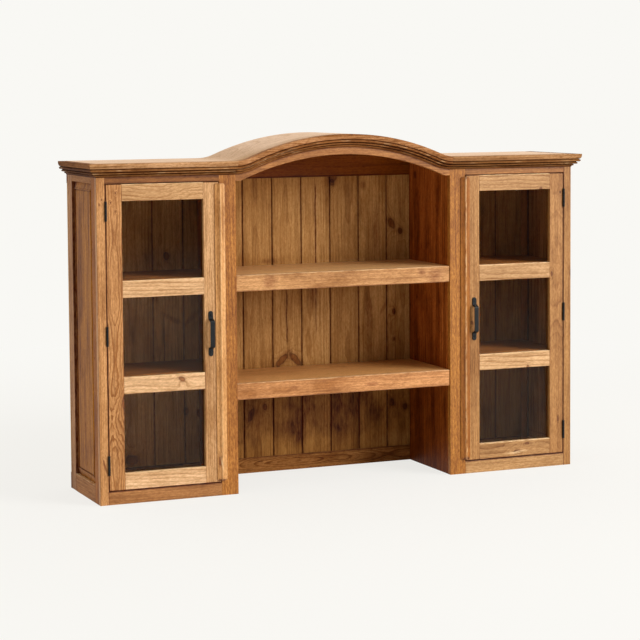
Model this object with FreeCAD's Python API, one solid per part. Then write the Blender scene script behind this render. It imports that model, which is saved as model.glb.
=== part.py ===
import FreeCAD, Part
import math
import os

# Upper section of a step back cupboard: two glazed side cabinets with an open bay between them, held by a
# face frame in front and a boarded back, under a crown that climbs in an arch over the bay.
#
# Millimetres. X runs to the right, Y to the back and Z up. Pieces are laid out from the front of the face
# frame (y = 0) and the floor (z = 0); save() then moves them so that the origin is under the middle of the
# whole footprint. Each pair of mirrored pieces is made once, on the right.

V = FreeCAD.Vector
TINY = 0.001
FLAT_TURN = 36.0               # small beads, coves and bends are worked as flats, turning at most this much each

# Case
BODY_WIDTH = 1780.0
BODY_DEPTH = 350.0
SHOULDER_HEIGHT = 1132.0       # floor to the top of the level crown
BAY_WIDTH = 804.0              # clear width of the open bay
TOP_THICKNESS = 15.0
DIVIDER_THICKNESS = 20.0
FLOOR_THICKNESS = 20.0

# Face frame
FRAME_THICKNESS = 20.0
OUTER_STILE = 30.0
INNER_STILE = 60.0
BOTTOM_RAIL = 44.5
FRIEZE = 20.5                  # flat left showing between the openings and the crown
APEX_FRIEZE = 24.0             # the same at the top of the arch
ARCH_SEAT = 20.0               # level stretch at each foot of the arched opening

# Crown: a cove, then stepped beads (quirk below, bead height, step outwards), then the fascia
CROWN_COVE = 4.5
CROWN_BEADS = ((0.0, 4.5, 8.0), (1.5, 6.0, 10.0), (2.5, 8.0, 8.0))
CROWN_QUIRK = 1.2              # how far a quirk cuts in behind its bead
FASCIA_QUIRK = 1.8
FASCIA_STEP = 3.4
FASCIA_HEIGHT = 17.2
FASCIA_RAKE = 5.0              # how far the fascia's rounded lower edge draws back
FASCIA_ROUND = 11.0            # height of that rounding
CROWN_RISE = 85.0              # climb from the level crown to the top of the arch
CROWN_FOOT_RADIUS = 190.0      # hollow curve where the arch starts, along the foot of the moulding

# Sides: posts and rails round a raised panel
SIDE_LIP = 5.0                 # wood inside the panel groove
PANEL_TONGUE = 6.0
PANEL_SET_BACK = 11.0          # from the outer face to the panel's edge
FRONT_POST = 38.0
BACK_POST = 50.0
SIDE_TOP_RAIL = 52.0
SIDE_BOTTOM_RAIL = 60.0
PANEL_GROOVE = 8.0
PANEL_BEVEL = 21.0
PANEL_BEAD = 5.0
PANEL_QUIRK = 4.0
QUIRK_DEPTH = 1.8
FIELD_SET_BACK = 5.0           # from the outer face to the panel's flat field

# Shelves
SHELF_THICKNESS = 20.0
BAY_SHELF_TOPS = {"lower": 376.0, "upper": 745.0}
LIPPING_HEIGHT = 56.0
LIPPING_THICKNESS = 20.0
LIPPING_RECESS = 4.0           # behind the front of the face frame
SHELF_SETBACK = 10.0           # cabinet shelves, behind the doors
HOUSING = 5.0                  # depth of the shelf housings in the dividers

# Back
BACK_THICKNESS = 14.0
BACK_TOP_RAIL = 61.0
BACK_BOTTOM_RAIL = 55.5
PLANK_THICKNESS = 9.0
PLANK_PITCH = 112.5
PLANK_OFFSET = -26.0           # one seam, from the middle of the case
LEAST_PLANK = 40.0             # the outer planks are no narrower than this
PLANK_SEAM = 1.2
PLANK_VEE = 1.8
PLANK_TONGUE = 5.0
PLANK_TONGUE_THICKNESS = 3.0
PLANK_GROOVE = 8.0             # how far the planks' ends run into the back rails

# Doors
DOOR_THICKNESS = 24.0
DOOR_GAP = 2.0
DOOR_STILE = 54.5
DOOR_RAIL = 56.5
DOOR_PANES = 3
GLASS_SET_BACK = 15.0
GLASS_THICKNESS = 3.0
GLASS_REBATE = 8.0
BEAD_CHAMFER = 3.0

# Bead strip on the lock edge of each door
STRIP_WIDTH = 36.0
STRIP_LAP = 19.0               # how far it laps over the inner stile
STRIP_EDGE = 3.2
STRIP_NOSE = 9.0
STRIP_HEIGHT = 10.5
STRIP_SHOULDER = 8.4           # height where the cove meets the nose
STRIP_RELIEF = 0.7             # clearance under the lap
STRIP_END = 5.5                # the strip stops this short of the door
STRIP_CORNER = 7.5

# Strap pulls
PULL_LENGTH = 153.0
PULL_WIDTH = 16.0
PULL_THICKNESS = 3.6
PULL_FOOT = 27.0
PULL_RISER = 6.0
PULL_STANDOFF = 18.0
PULL_BEND = 5.0
PULL_INSET = 33.0              # from the lock edge to the middle of the strap
PULL_DROP = 1.5                # below the middle of the door

# Butt hinges
HINGE_HEIGHT = 65.0
HINGE_KNUCKLES = 3
HINGE_BARREL_RADIUS = 3.9
KNUCKLE_FLATS = 16
HINGE_PIN_RADIUS = 1.5
HINGE_AXIS_OUT = 3.0           # pin centre in front of the face frame
HINGE_LEAF = 1.6
HINGE_LEAF_DEPTH = 17.0        # how far the leaves run in behind the face
HINGE_LOW = 85.5               # bottom of the door to the middle of the lowest hinge
HINGE_HIGH = 88.5              # top of the door to the middle of the highest hinge
HINGE_MIDDLE_RAISE = 8.5       # middle hinge above the point halfway between the others

# Magnetic catches
CATCH_WIDTH = 46.0
CATCH_HEIGHT = 14.0
CATCH_DEPTH = 20.0
CATCH_INSET = 25.0             # from the lock edge to the middle of the catch
CATCH_CORNER = 3.0
STRIKE_WIDTH = 34.0
STRIKE_HEIGHT = 12.0
STRIKE_THICKNESS = 1.5
STRIKE_CORNER = 3.0
STRIKE_AIR = 0.4

# Joinery and fits
TENON_LENGTH = 22.0
TENON_THICKNESS = 8.0
TENON_SHOULDER = 6.0
EDGE_TONGUE = 5.0
GLUE_FIT = 0.1
PANEL_FLOAT = 1.0
HOUSING_CLEARANCE = 0.5
PIN_FIT = 0.05
KNUCKLE_GAP = 0.2
BARREL_AIR = 0.5
ARRIS = 1.0                    # eased front edges

# Planes that the pieces share
crown_beads_height = sum(quirk + bead for quirk, bead, step in CROWN_BEADS)
crown_height = CROWN_COVE + crown_beads_height + FASCIA_QUIRK + FASCIA_HEIGHT
crown_projection = sum(step for quirk, bead, step in CROWN_BEADS) + FASCIA_STEP
half_width = BODY_WIDTH / 2
case_top = SHOULDER_HEIGHT - TOP_THICKNESS
crown_base = SHOULDER_HEIGHT - crown_height
head = crown_base - FRIEZE
bay_half = BAY_WIDTH / 2
stile_in = bay_half + INNER_STILE
stile_out = half_width - OUTER_STILE
divider_out = bay_half + DIVIDER_THICKNESS
side_in = half_width - SIDE_LIP - PANEL_TONGUE - PANEL_SET_BACK
case_back = BODY_DEPTH - BACK_THICKNESS
frame_y = (0, FRAME_THICKNESS)
case_y = (FRAME_THICKNESS, case_back)
back_y = (case_back, BODY_DEPTH)
full_z = (0, case_top)

pieces = {}


def grow(span, by):
    return (span[0] - by, span[1] + by)


def block(x, y, z):
    """A squared piece of wood that fills the ranges x, y and z."""
    return Part.makeBox(x[1] - x[0], y[1] - y[0], z[1] - z[0], V(x[0], y[0], z[0]))


def socket(x, y, z):
    """The hole that a tongue or tenon with these ranges is glued into."""
    return block(grow(x, GLUE_FIT), grow(y, GLUE_FIT), grow(z, GLUE_FIT))


def centred(middle, size):
    return (middle - size / 2, middle + size / 2)


def mirrored(shape):
    return shape.mirror(V(0, 0, 0), V(1, 0, 0))


def edges_at(shape, x=None, y=None, z=None):
    """The edges of a shape that lie wholly in the given planes."""
    def lies_in(low, high, plane):
        return plane is None or max(abs(low - plane), abs(high - plane)) < TINY
    found = []
    for edge in shape.Edges:
        box = edge.BoundBox
        if lies_in(box.XMin, box.XMax, x) and lies_in(box.YMin, box.YMax, y) and lies_in(box.ZMin, box.ZMax, z):
            found.append(edge)
    return found


def corner_edges(board, x, z):
    """The four edges, front to back, at the corners of the ranges x and z."""
    return [edge for side in x for end in z for edge in edges_at(board, x=side, z=end)]


def eased_board(x, y, z):
    """A board whose front arrises are eased all round."""
    board = block(x, y, z)
    return board.makeChamfer(ARRIS, edges_at(board, y=y[0]))


def rectangle(x, y, z):
    """Outline of a rectangle in an upright plane: one of x and y is a range, the other one value."""
    if isinstance(y, tuple):
        corners = [V(x, y[0], z[0]), V(x, y[1], z[0]), V(x, y[1], z[1]), V(x, y[0], z[1])]
    else:
        corners = [V(x[0], y, z[0]), V(x[1], y, z[0]), V(x[1], y, z[1]), V(x[0], y, z[1])]
    return Part.makePolygon(corners + corners[:1])


def arris_cutter(x, z):
    """Eases the front arrises round an opening that spans x and z."""
    wide = rectangle(grow(x, 2 * ARRIS), -ARRIS, grow(z, 2 * ARRIS))
    tight = rectangle(x, ARRIS, z)
    return Part.makeLoft([wide, tight], True, True)


class Outline:
    """A closed outline drawn edge by edge; place(u, v) gives each point in space."""

    def __init__(self, place, start):
        self.place = place
        self.first = place(*start)
        self.here = self.first
        self.edges = []

    def line(self, *stops):
        for stop in stops:
            there = self.place(*stop)
            if there.distanceToPoint(self.here) > TINY:
                self.edges.append(Part.makeLine(self.here, there))
                self.here = there
        return self

    def arc(self, through, to):
        there = self.place(*to)
        self.edges.append(Part.Arc(self.here, self.place(*through), there).toShape())
        self.here = there
        return self

    def bend(self, centre, radius, start, end):
        """A round stretch as short flats, from one angle to another, in degrees."""
        flats = math.ceil(abs(end - start) / FLAT_TURN)
        for number in range(flats + 1):
            turn = math.radians(start + (end - start) * number / flats)
            self.line((centre[0] + radius * math.cos(turn), centre[1] + radius * math.sin(turn)))
        return self

    def face(self):
        if self.here.distanceToPoint(self.first) > TINY:
            self.edges.append(Part.makeLine(self.here, self.first))
        return Part.Face(Part.Wire(self.edges))


def upright(x, z):
    return V(x, 0, z)


def plan(x, y):
    return V(x, y, 0)


def keep(name, *shapes):
    pieces[name] = list(shapes)


def keep_pair(name, *shapes):
    """Keeps a piece that is on the right, and its mirror image on the left."""
    keep("right_" + name, *shapes)
    keep("left_" + name, *[mirrored(shape) for shape in shapes])


# The crown's curve. A large arc over the bay runs down each side into a small hollow arc, which meets the
# level crown over the middle of the divider. Lift is the height above the foot of the moulding.

crown_foot_x = bay_half + DIVIDER_THICKNESS / 2
radii_together = (crown_foot_x ** 2 + CROWN_RISE ** 2) / (2 * CROWN_RISE)
crown_radius = radii_together - CROWN_FOOT_RADIUS
crown_centre = crown_base + CROWN_RISE - crown_radius
crown_turn = math.asin(crown_foot_x / radii_together)


def crown_point(turn, lift):
    radius = crown_radius + lift
    return (radius * math.sin(turn), crown_centre + radius * math.cos(turn))


def foot_point(turn, lift, side):
    radius = CROWN_FOOT_RADIUS - lift
    x = crown_foot_x - radius * math.sin(turn)
    return (side * x, crown_base + CROWN_FOOT_RADIUS - radius * math.cos(turn))


def follow_crown(outline, lift, side):
    """Carries an outline along the curve, from the foot on one side (+1 right) to the other."""
    outline.arc(foot_point(crown_turn / 2, lift, side), crown_point(side * crown_turn, lift))
    outline.arc(crown_point(0, lift), crown_point(-side * crown_turn, lift))
    outline.arc(foot_point(crown_turn / 2, lift, -side), foot_point(0, lift, -side))


def beneath_top(x, y, low):
    """A board over the range x that runs from the height low up to the underside of the top."""
    outline = Outline(upright, (half_width, low))
    outline.line((half_width, case_top), (crown_foot_x, case_top))
    follow_crown(outline, crown_height - TOP_THICKNESS, 1)
    outline.line((-half_width, case_top), (-half_width, low))
    board = outline.face().extrude(V(0, y[1] - y[0], 0))
    board.translate(V(0, y[0], 0))
    reach = grow((low, SHOULDER_HEIGHT + CROWN_RISE), TINY)
    return board.common(block(x, y, reach))


def crown_section(place):
    """Section of the moulding, foot at (0, 0): out from the face, then up."""
    quirk, bead, nose = CROWN_BEADS[0]
    out = nose - bead / 2
    up = CROWN_COVE
    outline = Outline(place, (0, 0)).bend((out, 0), CROWN_COVE, 180, 90)
    nose = 0
    for quirk, bead, step in CROWN_BEADS:
        up += quirk
        nose += step
        outline.line((out, up)).bend((nose - bead / 2, up + bead / 2), bead / 2, -90, 90)
        up += bead
        out = nose - bead / 2 - CROWN_QUIRK
    up += FASCIA_QUIRK
    nose += FASCIA_STEP
    outline.line((out, up))
    radius = (FASCIA_RAKE ** 2 + FASCIA_ROUND ** 2) / (2 * FASCIA_RAKE)
    turn = math.degrees(math.asin(FASCIA_ROUND / radius))
    outline.bend((nose - radius, up + FASCIA_ROUND), radius, -turn, 0)
    outline.line((nose, up + FASCIA_HEIGHT), (0, up + FASCIA_HEIGHT))
    return outline.face()


def crown_face(x, foot):
    return crown_section(lambda out, up: V(x, -out, foot + up))


def make_crown():
    """The moulding turned round the arch's centres, run on level, and cut into five mitred lengths."""
    across = V(0, 1, 0)
    reach = half_width + crown_projection
    middle = crown_face(0, crown_base + CROWN_RISE)
    middle.rotate(V(0, 0, crown_centre), across, -math.degrees(crown_turn))
    middle = middle.revolve(V(0, 0, crown_centre), across, 2 * math.degrees(crown_turn))
    start = crown_face(crown_foot_x, crown_base)
    foot = start.revolve(V(crown_foot_x, 0, crown_base + CROWN_FOOT_RADIUS), across, math.degrees(crown_turn))
    level = start.extrude(V(reach - crown_foot_x, 0, 0))
    wing = foot.fuse(level)
    everything = middle.fuse([wing, mirrored(wing)])

    front_y = (-crown_projection, 0)
    tall = (crown_base, SHOULDER_HEIGHT + CROWN_RISE)
    keep("arched_crown", everything.common(block((-bay_half, bay_half), front_y, tall)))

    corner = [V(half_width, 0, 0), V(reach, -crown_projection, 0), V(reach, 0, 0), V(half_width, 0, 0)]
    mitre = Part.Face(Part.makePolygon(corner)).extrude(V(0, 0, tall[1]))
    right = everything.common(block((bay_half, reach), front_y, tall))
    keep_pair("crown", right.cut(mitre))

    side = crown_section(lambda out, up: V(half_width + out, -crown_projection, crown_base + up))
    side = side.extrude(V(0, crown_projection + BODY_DEPTH, 0))
    behind = block((half_width, reach), (0, BODY_DEPTH), tall)
    keep_pair("crown_return", side.common(mitre.fuse(behind)))


def make_tops():
    """Level boards over the cabinets, and the bonnet board that is bent to the arch between them."""
    board = block((crown_foot_x, half_width), (0, BODY_DEPTH), (case_top, SHOULDER_HEIGHT))
    keep("top_boards", board, mirrored(board))
    outline = Outline(upright, (crown_foot_x, SHOULDER_HEIGHT))
    follow_crown(outline, crown_height, 1)
    outline.line((-crown_foot_x, case_top))
    follow_crown(outline, crown_height - TOP_THICKNESS, -1)
    keep("bonnet_board", outline.face().extrude(V(0, BODY_DEPTH, 0)))


# Face frame

tenon_y = centred(FRAME_THICKNESS / 2, TENON_THICKNESS)
top_tenon_z = (head + TENON_SHOULDER, case_top - TENON_SHOULDER)
bottom_tenon_z = (TENON_SHOULDER, BOTTOM_RAIL - TENON_SHOULDER)
door_opening_x = (stile_in, stile_out)
door_opening_z = (BOTTOM_RAIL, head)
rail_tenon_x = grow(door_opening_x, TENON_LENGTH)
arch_tenon_x = grow((-bay_half, bay_half), TENON_LENGTH)
edge_tongue_y = (FRAME_THICKNESS - EDGE_TONGUE, FRAME_THICKNESS)
edge_tongue_z = (TENON_SHOULDER, case_top - TENON_SHOULDER)
panel_line_x = (side_in + SIDE_LIP, side_in + SIDE_LIP + PANEL_TONGUE)
divider_tongue_x = centred((bay_half + divider_out) / 2, PANEL_TONGUE)


def make_rails():
    """Rails over and under the doors, tenoned into the stiles."""
    easing = arris_cutter(door_opening_x, door_opening_z)
    top = block(door_opening_x, frame_y, (head, case_top)).cut(easing)
    keep_pair("top_rail", top.fuse(block(rail_tenon_x, tenon_y, top_tenon_z)))
    bottom = block(door_opening_x, frame_y, (0, BOTTOM_RAIL)).cut(easing)
    keep_pair("bottom_rail", bottom.fuse(block(rail_tenon_x, tenon_y, bottom_tenon_z)))


def make_arched_rail():
    """The rail over the bay: one true arc between two level seats, under the crown's curve."""
    half_chord = bay_half - ARCH_SEAT
    apex = crown_base + CROWN_RISE - APEX_FRIEZE
    rise = apex - head
    radius = (half_chord ** 2 + rise ** 2) / (2 * rise)
    centre = V(0, 0, apex - radius)
    across = V(0, 1, 0)
    rail = beneath_top((-bay_half, bay_half), frame_y, head)
    rail = rail.cut(Part.makeCylinder(radius, FRAME_THICKNESS, centre, across))
    easing = Part.makeCone(radius + 2 * ARRIS, radius, 2 * ARRIS, centre - across * ARRIS, across)
    rail = rail.cut(easing)
    tenon = block((bay_half, bay_half + TENON_LENGTH), tenon_y, top_tenon_z)
    keep("arched_rail", rail.fuse([tenon, mirrored(tenon)]))


def make_stiles():
    """Outer and inner stiles, mortised for the rails and grooved for the boards behind them."""
    door_easing = arris_cutter(door_opening_x, door_opening_z)
    bay_easing = arris_cutter((-bay_half, bay_half), (-BOTTOM_RAIL, head))
    mortises = [socket(rail_tenon_x, tenon_y, top_tenon_z), socket(rail_tenon_x, tenon_y, bottom_tenon_z)]

    outer = block((stile_out, half_width), frame_y, full_z)
    outer = outer.makeChamfer(ARRIS, edges_at(outer, x=half_width, y=0))
    outer = outer.cut([door_easing, socket(panel_line_x, edge_tongue_y, edge_tongue_z)] + mortises)
    for foot in hinge_feet():
        outer = outer.cut([hinge_recess(foot, 1), barrel_room(hinge_span(foot))])
    keep_pair("outer_stile", outer)

    inner = block((bay_half, stile_in), frame_y, full_z)
    inner = inner.cut([door_easing, bay_easing, socket(divider_tongue_x, edge_tongue_y, edge_tongue_z)])
    inner = inner.cut([socket(arch_tenon_x, tenon_y, top_tenon_z)] + mortises)
    keep_pair("inner_stile", inner)


# Sides, dividers, floors and shelves

front_post_y = (FRAME_THICKNESS, FRAME_THICKNESS + FRONT_POST)
back_post_y = (case_back - BACK_POST, case_back)
panel_y = (front_post_y[1], back_post_y[0])
panel_z = (SIDE_BOTTOM_RAIL, case_top - SIDE_TOP_RAIL)
side_x = (side_in, half_width)
side_tenon_y = grow(panel_y, TENON_LENGTH)
side_tenons_z = (
    (TENON_SHOULDER, panel_z[0] - PANEL_GROOVE - TENON_SHOULDER),
    (panel_z[1] + PANEL_GROOVE + TENON_SHOULDER, case_top - TENON_SHOULDER),
)
housed_x = (divider_out - HOUSING, side_in + SIDE_LIP - HOUSING_CLEARANCE)
floor_tongue_z = centred(FLOOR_THICKNESS / 2, FLOOR_THICKNESS - 2 * TENON_SHOULDER)
shelf_y = (DOOR_THICKNESS + SHELF_SETBACK, case_back)
bay_shelf_x = grow((-bay_half, bay_half), HOUSING)
lipping_y = (LIPPING_RECESS, LIPPING_RECESS + LIPPING_THICKNESS)
bay_shelf_y = (lipping_y[1], case_back)


def make_sides():
    """Posts and rails grooved for the panel; the front post is tongued into the outer stile."""
    groove = socket(panel_line_x, grow(panel_y, PANEL_GROOVE), grow(panel_z, PANEL_GROOVE))
    housings = [socket(housed_x, shelf_y, span) for span in cabinet_shelf_spans()]
    housings.append(socket(housed_x, case_y, floor_tongue_z))
    cutters = [groove] + housings + [socket(panel_line_x, side_tenon_y, span) for span in side_tenons_z]

    front = block(side_x, front_post_y, full_z).cut(cutters)
    keep_pair("side_front_post", front.fuse(block(panel_line_x, edge_tongue_y, edge_tongue_z)))
    keep_pair("side_back_post", block(side_x, back_post_y, full_z).cut(cutters))

    rails = []
    for span, tenon in zip(((0, panel_z[0]), (panel_z[1], case_top)), side_tenons_z):
        rail = block(side_x, panel_y, span).cut([groove] + housings)
        rails.append(rail.fuse(block(panel_line_x, side_tenon_y, tenon)))
    keep_pair("side_rails", *rails)


def make_side_panel():
    """A raised panel: its edge bevels up to a half-round bead, and a quirk parts the bead from the field."""
    def level(inset, depth):
        return rectangle(half_width - depth, grow(panel_y, -inset), grow(panel_z, -inset))

    radius = PANEL_BEAD / 2
    crest = PANEL_BEVEL + radius
    quirk = PANEL_BEVEL + PANEL_BEAD
    floor = FIELD_SET_BACK + QUIRK_DEPTH
    flats = math.ceil(90 / FLAT_TURN)
    turns = [math.pi / 2 * number / flats for number in range(flats + 1)]
    outer = [level(crest - radius * math.cos(t), FIELD_SET_BACK - radius * math.sin(t)) for t in turns]
    inner = [level(crest + radius * math.cos(t), FIELD_SET_BACK - radius * math.sin(t)) for t in turns]
    raised = Part.makeLoft([level(0, PANEL_SET_BACK)] + outer, True, True)
    raised = raised.cut(Part.makeLoft([level(quirk, floor)] + inner, True, True))
    inset = quirk + PANEL_QUIRK
    field_x = (half_width - floor, half_width - FIELD_SET_BACK)
    field = block(field_x, grow(panel_y, -inset), grow(panel_z, -inset))
    edge = PANEL_GROOVE - PANEL_FLOAT
    back = block(panel_line_x, grow(panel_y, edge), grow(panel_z, edge))
    keep_pair("side_panel", raised.fuse([field, back]))


def make_dividers():
    """Upright boards between cabinet and bay, housed on both faces."""
    divider = block((bay_half, divider_out), case_y, full_z)
    housings = [socket(housed_x, shelf_y, span) for span in cabinet_shelf_spans()]
    housings.append(socket(housed_x, case_y, floor_tongue_z))
    for top in BAY_SHELF_TOPS.values():
        housings.append(socket(bay_shelf_x, bay_shelf_y, (top - SHELF_THICKNESS, top)))
    divider = divider.cut(housings)
    keep_pair("divider", divider.fuse(block(divider_tongue_x, edge_tongue_y, edge_tongue_z)))


def make_floors_and_shelves():
    """Cabinet floors and shelves, and the two bay shelves with their deep lippings."""
    floor = block((divider_out, side_in), case_y, (0, FLOOR_THICKNESS))
    keep_pair("cabinet_bottom", floor.fuse(block(housed_x, case_y, floor_tongue_z)))
    keep_pair("cabinet_shelves", *[block(housed_x, shelf_y, span) for span in cabinet_shelf_spans()])

    for name, top in BAY_SHELF_TOPS.items():
        tongue_z = centred(top - SHELF_THICKNESS / 2, SHELF_THICKNESS - 2 * TENON_SHOULDER)
        tongue_y = (lipping_y[1] - EDGE_TONGUE, lipping_y[1])
        tongue_x = (-bay_half + TENON_SHOULDER, bay_half - TENON_SHOULDER)
        shelf = block(bay_shelf_x, bay_shelf_y, (top - SHELF_THICKNESS, top))
        keep(name + "_centre_shelf", shelf.fuse(block(tongue_x, tongue_y, tongue_z)))
        lipping_x = (-bay_half + GLUE_FIT, bay_half - GLUE_FIT)
        lipping = eased_board(lipping_x, lipping_y, (top - LIPPING_HEIGHT, top))
        keep(name + "_shelf_lipping", lipping.cut(socket(tongue_x, tongue_y, tongue_z)))


# Back

plank_y = centred((back_y[0] + back_y[1]) / 2, PLANK_THICKNESS)
boards_z = (BACK_BOTTOM_RAIL, case_top - BACK_TOP_RAIL)


def make_back():
    """Upright tongued and vee-jointed planks, held top and bottom in grooved rails."""
    across = (-half_width, half_width)
    groove = block(across, grow(plank_y, GLUE_FIT), grow(boards_z, PLANK_GROOVE))
    keep("back_top_rail", beneath_top(across, back_y, boards_z[1]).cut(groove))
    keep("back_bottom_rail", block(across, back_y, (0, boards_z[0])).cut(groove))

    reach = half_width - LEAST_PLANK
    first = math.ceil((-reach - PLANK_OFFSET) / PLANK_PITCH)
    last = math.floor((reach - PLANK_OFFSET) / PLANK_PITCH)
    seams = [PLANK_OFFSET + PLANK_PITCH * number for number in range(first, last + 1)]
    edges = [-half_width] + seams + [half_width]
    keep("back_planks", *[plank(left, right) for left, right in zip(edges, edges[1:])])


def plank(left, right):
    """One plank: vee on both front corners, tongue to the right, groove for its neighbour's tongue."""
    z = grow(boards_z, PLANK_GROOVE - PANEL_FLOAT)
    seam_left = left + PLANK_SEAM / 2
    seam_right = right - PLANK_SEAM / 2
    outline = Outline(plan, (seam_left, plank_y[1]))
    outline.line((seam_left, plank_y[0] + PLANK_VEE), (seam_left + PLANK_VEE, plank_y[0]))
    outline.line((seam_right - PLANK_VEE, plank_y[0]), (seam_right, plank_y[0] + PLANK_VEE))
    outline.line((seam_right, plank_y[1]))
    body = outline.face().extrude(V(0, 0, z[1] - z[0]))
    body.translate(V(0, 0, z[0]))
    tongue_y = centred((plank_y[0] + PLANK_VEE + plank_y[1]) / 2, PLANK_TONGUE_THICKNESS)
    if left > -half_width:
        neighbour = (left - PLANK_SEAM / 2, left - PLANK_SEAM / 2 + PLANK_TONGUE + PANEL_FLOAT)
        body = body.cut(block(neighbour, grow(tongue_y, GLUE_FIT), z))
    if right < half_width:
        body = body.fuse(block((seam_right, seam_right + PLANK_TONGUE), tongue_y, z))
    return body


# Doors

door_x = grow(door_opening_x, -DOOR_GAP)
door_y = (0, DOOR_THICKNESS)
door_z = grow(door_opening_z, -DOOR_GAP)
glass_x = grow(door_x, -DOOR_STILE)
pane_height = (door_z[1] - door_z[0] - (DOOR_PANES + 1) * DOOR_RAIL) / DOOR_PANES
door_rail_spans = []
for number in range(DOOR_PANES + 1):
    rail_foot = door_z[0] + number * (DOOR_RAIL + pane_height)
    door_rail_spans.append((rail_foot, rail_foot + DOOR_RAIL))
pane_spans = [(below[1], above[0]) for below, above in zip(door_rail_spans, door_rail_spans[1:])]
door_tenon_y = centred(GLASS_SET_BACK / 2, TENON_THICKNESS)
door_tenon_x = grow(glass_x, TENON_LENGTH)


def cabinet_shelf_spans():
    """Cabinet shelves lie behind the doors' middle rails, their tops level with the rails' tops."""
    return [(span[1] - SHELF_THICKNESS, span[1]) for span in door_rail_spans[1:-1]]


def make_door_frame():
    """Door stiles and rails: tenoned together, eased in front and rebated behind for the glass."""
    blank = eased_board(door_x, door_y, door_z)
    openings = []
    for span in pane_spans:
        openings.append(arris_cutter(glass_x, span))
        rebate_y = (GLASS_SET_BACK, DOOR_THICKNESS)
        openings.append(block(grow(glass_x, GLASS_REBATE), rebate_y, grow(span, GLASS_REBATE)))
    tenons = [(span[0] + TENON_SHOULDER, span[1] - TENON_SHOULDER) for span in door_rail_spans]
    mortises = [socket(door_tenon_x, door_tenon_y, span) for span in tenons]

    lock = blank.common(block((door_x[0], glass_x[0]), door_y, door_z))
    keep_pair("door_lock_stile", lock.cut(openings + mortises))
    hinged = blank.common(block((glass_x[1], door_x[1]), door_y, door_z)).cut(openings + mortises)
    for foot in hinge_feet():
        hinged = hinged.cut([hinge_recess(foot, -1), barrel_room(hinge_span(foot))])
    keep_pair("door_hinge_stile", hinged)

    rails = []
    for span, tenon in zip(door_rail_spans, tenons):
        rail = blank.common(block(glass_x, door_y, span)).cut(openings)
        rails.append(rail.fuse(block(door_tenon_x, door_tenon_y, tenon)))
    keep_pair("door_rails", *rails)


def make_glazing():
    """Panes in the rebates, each held by four bevelled beads."""
    pane_y = (GLASS_SET_BACK, GLASS_SET_BACK + GLASS_THICKNESS)
    bead_y = (pane_y[1], DOOR_THICKNESS)
    edge = GLASS_REBATE - PANEL_FLOAT
    panes = []
    beads = []
    for span in pane_spans:
        panes.append(block(grow(glass_x, edge), pane_y, grow(span, edge)))
        outer_z = grow(span, GLASS_REBATE)
        for outside, inside in zip(grow(glass_x, GLASS_REBATE), glass_x):
            bead = block((min(outside, inside), max(outside, inside)), bead_y, outer_z)
            beads.append(bead.makeChamfer(BEAD_CHAMFER, edges_at(bead, x=inside, y=bead_y[1])))
        for outside, inside in zip(outer_z, span):
            bead = block(glass_x, bead_y, (min(outside, inside), max(outside, inside)))
            beads.append(bead.makeChamfer(BEAD_CHAMFER, edges_at(bead, y=bead_y[1], z=inside)))
    keep_pair("door_panes", *panes)
    keep_pair("door_glass_beads", *beads)


def make_strips():
    """Coved strip on the lock edge: glued to the door, it laps over the inner stile."""
    left = stile_in - STRIP_LAP
    middle = left + STRIP_WIDTH / 2
    right = left + STRIP_WIDTH
    half_nose = STRIP_NOSE / 2
    cove_run = (STRIP_WIDTH - STRIP_NOSE) / 2
    sag = (STRIP_SHOULDER - STRIP_EDGE) / 4
    cove = (cove_run / 2, (STRIP_EDGE + STRIP_SHOULDER) / 2 - sag)
    outline = Outline(plan, (right, 0))
    outline.line((right, -STRIP_EDGE))
    outline.arc((right - cove[0], -cove[1]), (middle + half_nose, -STRIP_SHOULDER))
    outline.arc((middle, -STRIP_HEIGHT), (middle - half_nose, -STRIP_SHOULDER))
    outline.arc((left + cove[0], -cove[1]), (left, -STRIP_EDGE))
    outline.line((left, -STRIP_RELIEF), (door_x[0], -STRIP_RELIEF), (door_x[0], 0))
    z = grow(door_z, -STRIP_END)
    strip = outline.face().extrude(V(0, 0, z[1] - z[0]))
    strip.translate(V(0, 0, z[0]))
    blank = block((left, right), (-STRIP_HEIGHT, 0), z)
    blank = blank.makeFillet(STRIP_CORNER, corner_edges(blank, (left, right), z))
    keep_pair("door_strip", strip.common(blank))


def strap_side(outline, stops, shift):
    """Carries an outline along one side of a strap that follows stops, with its bends rounded."""
    for before, corner, after in zip(stops, stops[1:], stops[2:]):
        arriving = (corner - before).normalize()
        leaving = (after - corner).normalize()
        turn = math.atan2(arriving.x * leaving.y - arriving.y * leaving.x, arriving.dot(leaving))
        side = math.copysign(1, turn)
        to_left = V(-arriving.y, arriving.x, 0)
        centre = corner - arriving * (PULL_BEND * math.tan(abs(turn) / 2)) + to_left * (PULL_BEND * side)
        start = math.degrees(math.atan2(-side * to_left.y, -side * to_left.x))
        outline.bend((centre.x, centre.y), PULL_BEND - side * shift, start, start + math.degrees(turn))


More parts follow.
